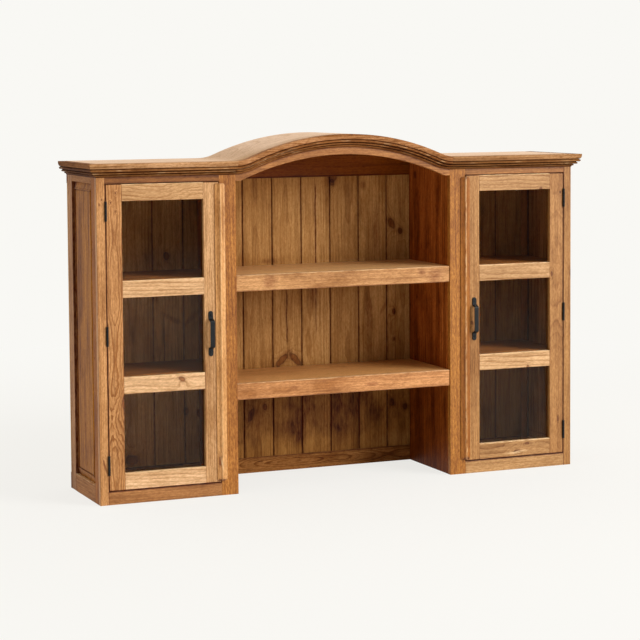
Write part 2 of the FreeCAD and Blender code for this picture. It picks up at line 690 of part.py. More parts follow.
def make_pulls():
    """A strap with flat round-ended feet, bent out steeply to a straight grip."""
    middle_x = door_x[0] + PULL_INSET
    middle_z = (door_z[0] + door_z[1]) / 2 - PULL_DROP
    low, high = centred(middle_z, PULL_LENGTH)
    half = PULL_THICKNESS / 2
    standing = -half - PULL_STANDOFF
    bent_at = PULL_FOOT + PULL_RISER
    stops = [
        V(-half, low, 0), V(-half, low + PULL_FOOT, 0), V(standing, low + bent_at, 0),
        V(standing, high - bent_at, 0), V(-half, high - PULL_FOOT, 0), V(-half, high, 0),
    ]
    outline = Outline(lambda y, z: V(middle_x - PULL_WIDTH / 2, y, z), (-PULL_THICKNESS, low))
    strap_side(outline, stops, half)
    outline.line((-PULL_THICKNESS, high), (0, high))
    strap_side(outline, stops[::-1], half)
    outline.line((0, low))
    strap = outline.face().extrude(V(PULL_WIDTH, 0, 0))

    left, right = centred(middle_x, PULL_WIDTH)
    front = Outline(upright, (right, low + PULL_WIDTH / 2))
    front.line((right, high - PULL_WIDTH / 2)).arc((middle_x, high), (left, high - PULL_WIDTH / 2))
    front.line((left, low + PULL_WIDTH / 2)).arc((middle_x, low), (right, low + PULL_WIDTH / 2))
    keep_pair("door_pull", strap.common(front.face().extrude(V(0, standing - half, 0))))


# Hinges. The pin stands in the middle of the gap beside the door, a little in front of the face frame.

hinge_axis = V(stile_out - DOOR_GAP / 2, -HINGE_AXIS_OUT, 0)


def hinge_feet():
    """Height of the lower end of each hinge."""
    low = door_z[0] + HINGE_LOW
    high = door_z[1] - HINGE_HIGH
    middle = (low + high) / 2 + HINGE_MIDDLE_RAISE
    return [centre - HINGE_HEIGHT / 2 for centre in (low, middle, high)]


def post(radius, z):
    """An upright round bar on the hinge axis."""
    return Part.makeCylinder(radius, z[1] - z[0], V(hinge_axis.x, hinge_axis.y, z[0]))


def knuckle(z):
    """A stretch of the barrel, its outside worked in flats."""
    corners = []
    for number in range(KNUCKLE_FLATS + 1):
        turn = 2 * math.pi * number / KNUCKLE_FLATS
        reach = V(math.cos(turn), math.sin(turn), 0) * HINGE_BARREL_RADIUS
        corners.append(V(hinge_axis.x, hinge_axis.y, z[0]) + reach)
    return Part.Face(Part.makePolygon(corners)).extrude(V(0, 0, z[1] - z[0]))


def leaf_x(side):
    """Range of a leaf: side +1 in the frame's stile, -1 in the door's."""
    face = hinge_axis.x + side * DOOR_GAP / 2
    return (min(face, face + side * HINGE_LEAF), max(face, face + side * HINGE_LEAF))


def hinge_span(foot):
    return (foot, foot + HINGE_HEIGHT)


def hinge_recess(foot, side):
    return socket(leaf_x(side), (hinge_axis.y, HINGE_LEAF_DEPTH), hinge_span(foot))


def barrel_room(span):
    """A square notch that lets a stretch of the barrel turn."""
    room = HINGE_BARREL_RADIUS + BARREL_AIR
    return block(centred(hinge_axis.x, 2 * room), centred(hinge_axis.y, 2 * room), grow(span, KNUCKLE_GAP / 2))


def hinge_leaf(foot, side):
    """A leaf with its knuckles: the frame's leaf has the first and every second one, the door's the rest."""
    pitch = HINGE_HEIGHT / HINGE_KNUCKLES
    spans = [(foot + pitch * number, foot + pitch * (number + 1)) for number in range(HINGE_KNUCKLES)]
    own, others = (spans[0::2], spans[1::2]) if side > 0 else (spans[1::2], spans[0::2])
    leaf = block(leaf_x(side), (hinge_axis.y, HINGE_LEAF_DEPTH), hinge_span(foot))
    leaf = leaf.cut([barrel_room(span) for span in others])
    return leaf.fuse([knuckle(grow(span, -KNUCKLE_GAP / 2)) for span in own])


def make_hinges():
    """The pin is riveted fast in the knuckles of the frame's leaf, and the door's knuckle turns on it."""
    frame_leaves = []
    door_leaves = []
    for foot in hinge_feet():
        pin_span = grow(hinge_span(foot), -KNUCKLE_GAP)
        frame_leaves.append(hinge_leaf(foot, 1).fuse(post(HINGE_PIN_RADIUS, pin_span)).removeSplitter())
        door_leaves.append(hinge_leaf(foot, -1).cut(post(HINGE_PIN_RADIUS + PIN_FIT, hinge_span(foot))))
    keep_pair("hinge_frame_leaves", *frame_leaves)
    keep_pair("hinge_door_leaves", *door_leaves)


def make_catches():
    """A magnetic catch under each cabinet's upper shelf, and its strike plate on the door's lock stile."""
    middle = door_x[0] + CATCH_INSET
    shelf_underside = cabinet_shelf_spans()[-1][0]
    strike_y = (DOOR_THICKNESS, DOOR_THICKNESS + STRIKE_THICKNESS)
    catch_front = strike_y[1] + STRIKE_AIR
    body_z = (shelf_underside - CATCH_HEIGHT, shelf_underside)
    body = block(centred(middle, CATCH_WIDTH), (catch_front, catch_front + CATCH_DEPTH), body_z)
    body = body.makeChamfer(CATCH_CORNER, edges_at(body, z=body_z[0]))
    keep("door_catches", body, mirrored(body))
    strike_x = centred(middle, STRIKE_WIDTH)
    strike_z = centred((body_z[0] + body_z[1]) / 2, STRIKE_HEIGHT)
    strike = block(strike_x, strike_y, strike_z)
    keep_pair("door_strike", strike.makeChamfer(STRIKE_CORNER, corner_edges(strike, strike_x, strike_z)))


def save():
    """One file for each node, moved so that the origin is under the middle of the footprint."""
    os.makedirs("parts", exist_ok=True)
    middle = (BODY_DEPTH - crown_projection) / 2
    for name, shapes in pieces.items():
        shape = Part.makeCompound(shapes) if len(shapes) > 1 else shapes[0]
        shape.translate(V(0, -middle, 0))
        shape.exportStep("parts/" + name + ".step")


make_crown()
make_tops()
make_rails()
make_arched_rail()
make_stiles()
make_sides()
make_side_panel()
make_dividers()
make_floors_and_shelves()
make_back()
make_door_frame()
make_glazing()
make_strips()
make_pulls()
make_hinges()
make_catches()
save()
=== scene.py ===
# %% [markdown]
# A step back cupboard has a shallow upper section that stands on a deeper base. This lesson dresses the
# upper section: two glazed cabinets, an open bay with two shelves, a boarded back and an arched crown, all
# in old waxed pine with black ironwork.
#
# The built model is loaded first and stays as it is. It arrives in metres, with the front facing -Y, and
# each node's place is in its own vertices, from which a node's box is read.

import math

import bpy
from mathutils import Matrix, Vector


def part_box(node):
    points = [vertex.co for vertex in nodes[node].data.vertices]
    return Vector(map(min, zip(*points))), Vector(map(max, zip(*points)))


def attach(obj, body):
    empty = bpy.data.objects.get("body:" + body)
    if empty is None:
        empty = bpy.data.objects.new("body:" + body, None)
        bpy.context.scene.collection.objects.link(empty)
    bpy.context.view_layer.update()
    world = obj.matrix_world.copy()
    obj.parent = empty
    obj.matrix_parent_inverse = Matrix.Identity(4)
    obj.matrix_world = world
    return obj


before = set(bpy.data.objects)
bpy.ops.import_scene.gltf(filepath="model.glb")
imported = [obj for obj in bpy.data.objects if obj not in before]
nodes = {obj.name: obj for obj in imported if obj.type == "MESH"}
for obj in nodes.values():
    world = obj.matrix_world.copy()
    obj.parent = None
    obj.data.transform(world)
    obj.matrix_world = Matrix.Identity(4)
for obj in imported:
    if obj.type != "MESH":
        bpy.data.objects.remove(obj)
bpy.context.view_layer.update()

# %% [markdown]
# A cupboard is looked at from a standing eye, a little to one side of its middle. A long lens from far away
# keeps the uprights nearly parallel, as furniture makers like to show their work. The camera is turned
# first, then tipped down a few degrees and rolled by less than half of one. The rest of the framing is done
# with a small vertical shift, so that the uprights don't lean together.

# %% Camera
turn, tip, roll = math.radians(22.94), math.radians(4.0), math.radians(-0.40)
ahead = Vector((math.sin(turn) * math.cos(tip), math.cos(turn) * math.cos(tip), -math.sin(tip)))
level = Vector((math.cos(turn), -math.sin(turn), 0))
above = level.cross(ahead)
right = level * math.cos(roll) + above * math.sin(roll)
up = above * math.cos(roll) - level * math.sin(roll)

lens = bpy.data.cameras.new("camera")
lens.lens = 114.19
lens.sensor_width = 36
lens.shift_y = -0.138
lens.clip_end = 60
camera = bpy.data.objects.new("camera", lens)
facing = Matrix((right, up, -ahead)).transposed().to_4x4()
camera.matrix_world = Matrix.Translation((-2.802, -6.5553, 1.369)) @ facing
bpy.context.scene.collection.objects.link(camera)
bpy.context.scene.camera = camera
bpy.context.scene.view_settings.view_transform = "Standard"
print("lens", round(lens.lens, 2), "mm, shift", round(lens.shift_y, 3))

# %% [markdown]
# Materials are built from nodes. Writing each Math node by hand hides the idea behind the plumbing, so a
# small class wraps a socket and turns arithmetic into Math nodes: `1 - mask * 0.5` reads as it works. Every
# other node comes from one method, which takes the node's type, what goes into its sockets, and its
# settings.

# %% Shader sums as plain expressions
class Wire:
    """One output in the node tree of the material being made."""

    tree = None

    def __init__(self, socket):
        self.socket = socket

    @classmethod
    def node(cls, kind, inputs=None, output=0, stops=None, **settings):
        made = cls.tree.nodes.new("ShaderNode" + kind)
        for name, value in settings.items():
            setattr(made, name, value)
        if stops:
            made.color_ramp.interpolation = "EASE"
            while len(made.color_ramp.elements) < len(stops):
                made.color_ramp.elements.new(0.5)
            for element, (place, value) in zip(made.color_ramp.elements, stops):
                element.position = place
                element.color = (value, value, value, 1)
        for name, value in (inputs or {}).items():
            if isinstance(value, Wire):
                cls.tree.links.new(value.socket, made.inputs[name])
            else:
                made.inputs[name].default_value = value
        if isinstance(output, tuple):
            return [Wire(made.outputs[name]) for name in output]
        return Wire(made.outputs[output]) if made.outputs else None

    def math(self, operation, *others):
        return Wire.node("Math", dict(enumerate((self,) + others)), operation=operation)

    def __add__(self, other):
        return self.math("ADD", other)

    __radd__ = __add__

    def __sub__(self, other):
        return self.math("SUBTRACT", other)

    def __rsub__(self, other):
        return (self * -1) + other

    def __mul__(self, other):
        return self.math("MULTIPLY", other)

    __rmul__ = __mul__

    def __truediv__(self, other):
        return self.math("DIVIDE", other)

    def __pow__(self, other):
        return self.math("POWER", other)

    def __abs__(self):
        return self.math("ABSOLUTE")

    def fraction(self):
        return self.math("FRACT")

    def whole(self):
        return self.math("FLOOR")

    def most(self, other):
        return self.math("MAXIMUM", other)

    def least(self, other):
        return self.math("MINIMUM", other)

    def climb(self, low, high):
        """0 below low, 1 above high and a smooth climb between; low may be the larger."""
        span = {"Value": self, "From Min": low, "From Max": high}
        return Wire.node("MapRange", span, interpolation_type="SMOOTHSTEP")

    def near(self, value, reach):
        """1 at a value, falling to 0 at reach from it."""
        return abs(self - value).climb(reach, 0.0)


print("beside sums and products, a Wire knows", [name for name in vars(Wire) if not name.startswith("_")])

# %% [markdown]
# Colours are mixed with Mix nodes, because a Math node would turn them grey. Wood darkens as tea darkens
# paper: the stain takes away more blue than green and more green than red. So shade is laid on wood by
# multiplying with a stain, and never by a plain grey.

# %% Colours, stains and places
def linear(code):
    """A colour written as in a paint chart, #rrggbb, as the light that Blender counts in."""
    values = [int(code[i:i + 2], 16) / 255 for i in (1, 3, 5)]
    return tuple(v / 12.92 if v <= 0.04045 else ((v + 0.055) / 1.055) ** 2.4 for v in values) + (1,)


def paint(base, other, amount, how="MIX"):
    """Lays one colour over another by an amount from 0 to 1."""
    return Wire.node("Mix", {0: amount, 6: base, 7: other}, output=2, data_type="RGBA", blend_type=how)


def stain(base, tint, amount):
    """Darkens a colour by a stain, which lets only its own tint through where the amount is 1."""
    return paint(base, tint, amount, "MULTIPLY")


def speckle(place, scale, detail=2.0, rough=0.5):
    """Smooth noise from 0 to 1, its middle near a half."""
    return Wire.node("TexNoise", {"Vector": place, "Scale": scale, "Detail": detail, "Roughness": rough})


def object_place():
    return Wire.node("TexCoord", output="Object")


def new_material(name):
    made = bpy.data.materials.new(name)
    made.use_nodes = True
    made.node_tree.nodes.clear()
    Wire.tree = made.node_tree
    return made


def finish_with(shader):
    Wire.node("OutputMaterial", {"Surface": shader})


def dress(material, *names):
    for name in names:
        slots = nodes[name].data.materials
        slots.clear()
        slots.append(material)


print("honey in light:", tuple(round(value, 2) for value in linear("#c48b58")))

# %% [markdown]
# Furniture looks solid when the light has a direction. Here it comes from one broad soft box, in front and
# well to the right, as from a large window, and from a pale backdrop behind and above. The front of the
# studio is dim, so the left side and the depths of the open bay fall into warm shade, lit mostly by the wood
# round them. The camera sees a floor and backdrop of one pale colour, with part of the real shadow left in.

# %% Floor and backdrop
PALE = linear("#f9f8f4")


def looked_at(behind):
    """1 where the camera looks, and where gloss or glass looks towards the backdrop."""
    rays = ("Is Camera Ray", "Is Glossy Ray", "Is Transmission Ray")
    seen, glossy, through = Wire.node("LightPath", output=rays)
    return (seen + (glossy + through) * behind).least(1)


bpy.ops.object.select_all(action="DESELECT")
bpy.ops.mesh.primitive_plane_add(size=80, location=(0, 0, -0.0005))
floor = bpy.context.object
floor.name = "floor"
floor.data.materials.append(new_material("pale_floor"))
REAL_SHADOW = 0.18
DIMMED = 0.85
distance = Wire.node("VectorMath", {0: object_place()}, output=1, operation="LENGTH")
rightward, backward = Wire.node("SeparateXYZ", {0: object_place()}, output=(0, 1))
mirrored = Wire.node("LightPath", output="Is Glossy Ray") * backward.climb(0.2, -1.0)
dim = rightward.climb(0.8, 5.0).most(backward.climb(-5.0, -12.0)) * DIMMED
real_light = Wire.node("BsdfDiffuse", {"Color": linear("#f2f1ee")})
own_light = Wire.node("Emission", {"Color": paint(PALE, (0, 0, 0, 1), mirrored * dim)})
share = looked_at(1.0) * (distance.climb(1.0, 4.0) * REAL_SHADOW + (1 - REAL_SHADOW))
finish_with(Wire.node("MixShader", {0: share, 1: real_light, 2: own_light}))
print("floor and backdrop are", tuple(round(value, 2) for value in PALE[:3]))

# %% The studio's own light
world = bpy.data.worlds.new("studio")
world.use_nodes = True
world.node_tree.nodes.clear()
bpy.context.scene.world = world
Wire.tree = world.node_tree
rightward, backward, upward = Wire.node("SeparateXYZ", {0: Wire.node("TexCoord")}, output=(0, 1, 2))
behind = backward.climb(-0.1, 0.5)
BASE, BACK, OVERHEAD, LEFT = 0.1, 0.2, 0.7, 0.16
glow = behind * BACK + upward.climb(0.0, 1.0) * OVERHEAD + rightward.climb(0.2, -0.8) * LEFT + BASE
soft = Wire.node("Background", {"Color": (1.0, 0.95, 0.88, 1), "Strength": glow})
plain = Wire.node("Background", {"Color": PALE, "Strength": 1.0})
Wire.node("OutputWorld", {"Surface": Wire.node("MixShader", {0: looked_at(behind), 1: soft, 2: plain})})
print("studio light from", BASE, "in front to", round(BASE + BACK + OVERHEAD, 2), "above and behind")

# %% The soft box
def soft_box(name, where, target, wide, tall, power):
    light = bpy.data.lights.new(name, "AREA")
    light.shape = "RECTANGLE"
    light.size = wide
    light.size_y = tall
    light.energy = power
    stand = bpy.data.objects.new(name, light)
    aim = (Vector(target) - Vector(where)).to_track_quat("-Z", "Y")
    stand.matrix_world = Matrix.Translation(where) @ aim.to_matrix().to_4x4()
    bpy.context.scene.collection.objects.link(stand)
    print("lamp", name, power, "W")


soft_box("window_light", (5.2, -5.9, 3.6), (0, 0, 0.6), 4.0, 5.0, 640)

# %% [markdown]
# Pine is a stack of yearly rings. Sawn through, the rings show as lines where the board cuts them on edge,
# and as nested arches where it grazes them. The pattern here is a true one: the distance from the pith, a
# line that runs along the board and wanders a little, so that the arches and ovals come by themselves. No
# two years are alike, so each ring has a strength of its own.
#
# Everything is read from Object coordinates, which are places on the real cupboard in metres, so a pattern
# stays on its board in any view. A board only needs to say which axis its grain runs along and which axis
# goes in through its face. Several like boards in one node are told apart by a number.

# %% Places on a board
AXES = {"x": 0, "y": 1, "z": 2}


class Board:
    """Places on a board, told by its grain: length along it, across its face, and depth into it."""

    def __init__(self, along, face, seed, number=None, pitch=0.0):
        self.place = Wire.node("SeparateXYZ", {0: object_place()}, output=(0, 1, 2))
        self.length = self.place[AXES[along]]
        self.depth = self.place[AXES[face]]
        self.across = self.place[3 - AXES[along] - AXES[face]]
        self.number = number(*self.place) if number else 0
        self.shuffle = self.number * 0.73 + seed * 1.37
        self.odd = chance(self.number + seed) if number else 0.5
        self.own_middle = self.number * pitch + (self.odd - 0.5) * 0.06

    def noise(self, wide, long, detail=2.0, rough=0.5):
        """Noise drawn out along the grain, by how many spots a metre has across and along."""
        drawn = {"X": self.across * wide + self.shuffle, "Y": self.depth * wide}
        drawn["Z"] = self.length * long + self.shuffle * 2.1
        return speckle(Wire.node("CombineXYZ", drawn), 1.0, detail, rough)


def chance(number):
    """A number from 0 to 1 that is always the same for the same whole number."""
    return Wire.node("TexWhiteNoise", {"W": number}, noise_dimensions="1D")


LATE_WOOD = ((0.0, 0.0), (0.45, 0.08), (0.78, 0.62), (0.92, 1.0), (1.0, 0.0))


def ring_lines(board, spacing, pith, lean, wander, push):
    """The dark late wood of each year, from 0 to 1, round a pith at (across, depth)."""
    sway = board.noise(2.5, 0.9) - 0.5
    ripple = board.noise(24.0, 7.0) - 0.5
    side = board.across - board.own_middle - pith[0] + board.length * lean + sway * 0.03
    behind = board.depth - pith[1] + (board.noise(0.0, 2.2) - 0.5) * wander
    count = (side * side + behind * behind) ** 0.5 / spacing + ripple * 1.3 + push
    return Wire.node("ValToRGB", {"Fac": count.fraction()}, stops=LATE_WOOD) * (chance(count.whole()) * 0.75 + 0.25)


print("late wood is darkest", LATE_WOOD[3][0], "of the way through a year")

# %% [markdown]
# A knot is a branch that the board cuts through: a red-brown oval with a dark rim, and the rings bend round
# it. Its place is given as across, length, half its width and half its length, and a turn in degrees for a
# branch that was cut at a slant. Lines of grime and painted shade, and of wear and painted highlight, are
# simpler still: each is close to one value of one axis, such as the top edge of a rail.

# %% Knots, grime and wear, painted shade and highlight
def knot_distance(board, across, length, wide, long, turned=0.0):
    """0 in the middle of a knot, 1 at its rim, and on from there."""
    side, rise = board.across - across, board.length - length
    cosine, sine = math.cos(math.radians(turned)), math.sin(math.radians(turned))
    over, along = (side * cosine + rise * sine) / wide, (rise * cosine - side * sine) / long
    return (over * over + along * along) ** 0.5 + (board.noise(80.0, 50.0) - 0.5) * 0.9


def lines_at(board, lines):
    """Soft lines, each an axis, a value on it, a reach and a strength, or a sum made from a board."""
    total = 0
    for line in lines:
        if callable(line):
            total = total + line(board)
        else:
            axis, value, reach, strength = line
            total = total + board.place[AXES[axis]].near(value, reach) * strength
    return total


print("a round knot 20 mm wide, half a metre up, is given as", (0.0, 0.5, 0.01, 0.01))

# %% [markdown]
# The finish is built in layers: pale wood, rings, fine streaks of resin, broad
# bands where the wax went deeper, the mottle of short fibres torn by the plane, small dark flecks, knots,
# smudges, a darker fade that is a stain on some boards and painted shade on others, grime with painted shade
# in the corners, joints and hollows, and last pale wood on the arrises, partly worn and partly painted
# highlight. The same masks roughen the gloss and raise the grain.

# %% Waxed pine
RING, STREAK, BAND = (0.56, 0.42, 0.22, 1), (0.46, 0.35, 0.20, 1), (0.60, 0.49, 0.31, 1)
FLECK, GRIME_AND_SHADE = (0.38, 0.24, 0.12, 1), (0.24, 0.08, 0.015, 1)
KNOT, RIM = (0.40, 0.21, 0.07, 1), (0.18, 0.07, 0.015, 1)
WEAR_AND_HIGHLIGHT = linear("#f6d09c")
RELIEF = 0.0012


def waxed_pine(name, along, face, tone, seed, number=None, pitch=0.0, spacing=0.007, pith=(0.0, -0.1), lean=0.01,
               wander=0.012, lines=0.4, streaks=0.5, bands=0.6, mottle=0.7, flecks=0.3, knots=(), swirls=(),
               smudges=(), grime_and_shade=(), wear_and_highlight=(), fade=None, odd=0.5, gloss=0.48, wax=0.05, shine=0.3):
    """Old pine under wax: tone is its palest wood, and the strengths run from 0 to about 2."""
    made = new_material(name)
    board = Board(along, face, seed, number, pitch)
    distances = [knot_distance(board, *knot) for knot in knots]
    push = sum(far.climb(4.5, 0.6) * 1.8 for far in distances)
    push = push + sum(knot_distance(board, *swirl).climb(3.0, 0.0) * 3.0 for swirl in swirls)
    late = ring_lines(board, spacing, pith, lean, wander, push)
    fibre = board.noise(190.0, 5.0, 3.0, 0.6)
    broad = board.noise(28.0, 1.8, 3.0, 0.6)
    cloud = board.noise(10.0, 4.5, 3.0, 0.65)
    torn = board.noise(260.0, 80.0, 3.0, 0.7)
    spots = board.noise(150.0, 40.0, 2.0, 0.6)
    pores = board.noise(900.0, 60.0, 1.0)

    colour = stain(linear(tone), RING, late * (cloud * 1.4 + 0.2) * lines)
    colour = stain(colour, STREAK, fibre.climb(0.42, 0.68) * streaks)
    colour = stain(colour, BAND, (broad.climb(0.42, 0.66) * 0.6 + cloud.climb(0.46, 0.68) * 0.8) * bands)
    colour = stain(colour, BAND, torn.climb(0.34, 0.66) * mottle)
    colour = stain(colour, FLECK, spots.climb(0.60, 0.76) * flecks)
    colour = stain(colour, BAND, board.odd * odd)
    for far in distances:
        colour = stain(colour, KNOT, far.climb(2.6, 1.0) * 0.35 + far.climb(1.1, 0.8) * 0.5)
        colour = stain(colour, RIM, far.near(1.0, 0.35) * 0.6)
    for smudge in smudges:
        colour = stain(colour, KNOT, knot_distance(board, *smudge).climb(1.8, 0.2) * (spots * 1.1))
    # The fade is a darker stain given per board: a tone per rail, or painted shade in the bay, under the crown and on
    # the shelves.
    if fade:
        colour = stain(colour, BAND, fade(board))
    # Grime in joints and cracks, together with painted shade in gaps, grooves and hollows and painted shadow under
    # mouldings.
    colour = stain(colour, GRIME_AND_SHADE, lines_at(board, grime_and_shade) * (spots * 1.4 + 0.2))
    # Pale wood on the arrises: wear, and painted highlight along lit crests and top edges.
    colour = paint(colour, WEAR_AND_HIGHLIGHT, lines_at(board, wear_and_highlight) * spots.climb(0.72, 0.34) * 0.8)

    rough = fibre * 0.14 + gloss - 0.07 + spots.climb(0.6, 0.72) * 0.15
    height = fibre * 0.5 - late * 0.25 - spots.climb(0.56, 0.74) * 0.4 + pores * 0.25 + torn * 0.4 + cloud * 0.8
    bump = Wire.node("Bump", {"Height": height, "Strength": 0.5, "Distance": RELIEF})
    finish_with(Wire.node("BsdfPrincipled", {
        "Base Color": colour, "Roughness": rough, "Normal": bump, "Coat Weight": wax, "Coat Roughness": 0.3,
        "Specular IOR Level": shine,
    }))
    return made


print("pine under wax:", len((RING, STREAK, BAND, FLECK, KNOT, RIM, GRIME_AND_SHADE)), "stains")


# %% [markdown]
# A door's stiles are cut from one kind of stuff and its rails from another, paler and quieter. The left
# hinge stile is sawn close to the pith, so its rings close into long narrow ovals. Rails are pale along their
# top edges, partly rubbed where a duster and a hand pass and partly painted highlight, and carry painted
# shadow along their lower edges. The beaded strip that covers the gap by the pull has a painted highlight on
# its crest and painted shade in the hollow beside it. The gap round each door is edged with painted shade.
#
# The two halves of the cupboard are alike but not the same, so one loop dresses both: s is -1 on the left and
# 1 on the right, and either() gives the value of the side in hand where the two differ.

# %% Two sides, and the places that several boards share
SIDES = ((-1, "left"), (1, "right"))
FRONT = -0.1603
DOOR_FOOT, DOOR_HEAD = 0.0465, 1.0635
DOOR_EDGE, OPENING_EDGE = 0.858, 0.860
RAIL_SHOULDERS = (0.5185, 0.8035)
RAIL_PITCH, FIRST_RAIL = 0.320167, 0.03


def either(s, left, right):
    return left if s < 0 else right


print("a door reaches from", DOOR_FOOT, "to", DOOR_HEAD, "m, its rails", RAIL_PITCH, "m apart")

# %% Door rails, and marks on them
def rail_number(x, y, z):
    return ((z - FIRST_RAIL) / RAIL_PITCH).whole()


def rail_edge(place, reach):
    """A line along one edge of every door rail, placed by its share of the pitch."""
    return lambda board: ((board.place[2] - DOOR_FOOT) / RAIL_PITCH).fraction().near(place, reach)


def rubbed_patch(board):
    """Bare wood on the lower right rail."""
    return knot_distance(board, 0.062, 0.665, 0.004, 0.040, -4).climb(1.6, 0.4)


def each_rail(*shades):
    """How much darker than the palest each rail is, from the bottom one up."""
    return lambda board: sum(board.number.near(row, 0.5) * shade for row, shade in enumerate(shades))


STILE_KNOTS = {
    "left": [(-0.8055, 0.338, 0.004, 0.020), (-0.841, 1.004, 0.0018, 0.003), (-0.824, 1.035, 0.002, 0.003),
             (-0.825, 0.974, 0.0018, 0.003)],
    "right": [(0.846, 0.995, 0.0025, 0.004), (0.812, 0.700, 0.003, 0.008), (0.838, 0.172, 0.0025, 0.008)],
}
RAIL_KNOTS = {
    "left": [(0.406, -0.601, 0.007, 0.011, 35)],
    "right": [(0.065, 0.669, 0.005, 0.010), (0.091, 0.710, 0.004, 0.008), (0.371, 0.714, 0.005, 0.004),
              (1.011, 0.767, 0.004, 0.005)],
}
STRIP_KNOTS = {
    "left": [(-0.464, 0.052, 0.012, 0.005), (-0.470, 0.118, 0.003, 0.012)],
    "right": [(0.462, 0.053, 0.010, 0.006), (0.463, 1.056, 0.003, 0.004)],
}
STRIP_BURR = {"left": (-0.463, 0.108, 0.0022, 0.022, 12), "right": (0.466, 0.088, 0.0012, 0.010, -10)}
print("door rails are numbered", [int((z - FIRST_RAIL) / RAIL_PITCH) for z in (0.06, 0.39, 0.71, 1.03)])

# %% Doors
# DOOR_ENDS, and the lines at DOOR_EDGE, OPENING_EDGE, DOOR_FOOT and FRAME_FOOT, are painted shade along the gap round
# each door.
DOOR_ENDS = [("z", DOOR_FOOT, 0.0045, 1.0), ("z", DOOR_HEAD, 0.0035, 0.8)]
BEAD_HOLLOW, BEAD_CREST = -0.1618, -0.1712
for s, side in SIDES:
    dress(waxed_pine(
        side + "_hinge_stile_pine", "z", "y", either(s, "#e6ac71", "#c69259"), 3 + s, spacing=0.0048,
        pith=(s * 0.829, FRONT + either(s, 0.030, 0.200)), lean=0.004, wander=0.07, lines=either(s, 1.8, 0.8),
        bands=0.4, knots=STILE_KNOTS[side], swirls=either(s, [(-0.822, 0.270, 0.012, 0.060)], ()),
        grime_and_shade=DOOR_ENDS + [("x", s * DOOR_EDGE, 0.004, 0.9)],
    ), side + "_door_hinge_stile")
    dress(waxed_pine(
        side + "_lock_stile_pine", "z", "y", either(s, "#f2c28f", "#d09d63"), 7 + s, spacing=0.0065,
        pith=(s * 0.60, FRONT + 0.03), lines=0.9, bands=0.6, grime_and_shade=DOOR_ENDS,
        knots=either(s, (), [(0.4895, 0.539, 0.0035, 0.006, 20)]),
    ), side + "_door_lock_stile")
    # The strip carries a painted highlight on its crest, painted shade in the hollow beside it and a painted shadow
    # under its foot.
    dress(waxed_pine(
        side + "_strip_pine", "z", "y", either(s, "#fac080", "#c37f33"), 11 + s, spacing=0.004,
        pith=(s * 0.52, FRONT), lines=0.9, flecks=0.5, knots=STRIP_KNOTS[side],
        grime_and_shade=[("y", BEAD_HOLLOW, 0.0018, either(s, 0.9, 0.6)), ("z", 0.052, 0.004, 0.8)],
        wear_and_highlight=[("y", BEAD_CREST, 0.0034, either(s, 0.3, 0.45)),
              lambda board: knot_distance(board, *STRIP_BURR[side]).climb(1.5, 0.5) * 1.2],
    ), side + "_door_strip")
    # Each rail's top edge is pale, partly worn and partly painted highlight; its lower edge carries a line of painted
    # shadow.
    dress(waxed_pine(
        side + "_door_rail_pine", "x", "y", either(s, "#fdd2a4", "#e7bc8c"), 15 + s, rail_number, RAIL_PITCH,
        0.011, pith=(0.15, FRONT + 0.06), lean=0.04, wander=0.07, lines=1.1, streaks=0.4, bands=0.4, mottle=0.6,
        odd=0.0, knots=RAIL_KNOTS[side], swirls=either(s, [(1.030, -0.535, 0.03, 0.05)], [(0.08, 0.77, 0.03, 0.06)]),
        wear_and_highlight=[rail_edge(0.1765, 0.012), rail_edge(0.1765, 0.008)] + either(s, [], [rubbed_patch]),
        fade=either(s, each_rail(0.0, 0.13, 0.32, 0.72), each_rail(0.8, 0.0, 0.45, 0.7)),
        grime_and_shade=[rail_edge(0.0, 0.006), ("z", DOOR_FOOT, 0.0045, 0.7)]
        + [("x", s * shoulder, 0.0022, 0.7) for shoulder in RAIL_SHOULDERS],
    ), side + "_door_rails")
print("doors dressed, with", sum(len(knots) for knots in STILE_KNOTS.values()), "small knots on the hinge stiles")

# %% [markdown]
# The face frame and the crown are redder, with short dark flecks. Each quirk between the crown's beads is a
# dark line of painted shade, and the beads under the fascia carry its painted shadow. On the level runs such a line
# is simply a height.
# Over the bay the moulding follows a large arc that runs into a small hollow one on each side, and there the
# height is measured square to those arcs.

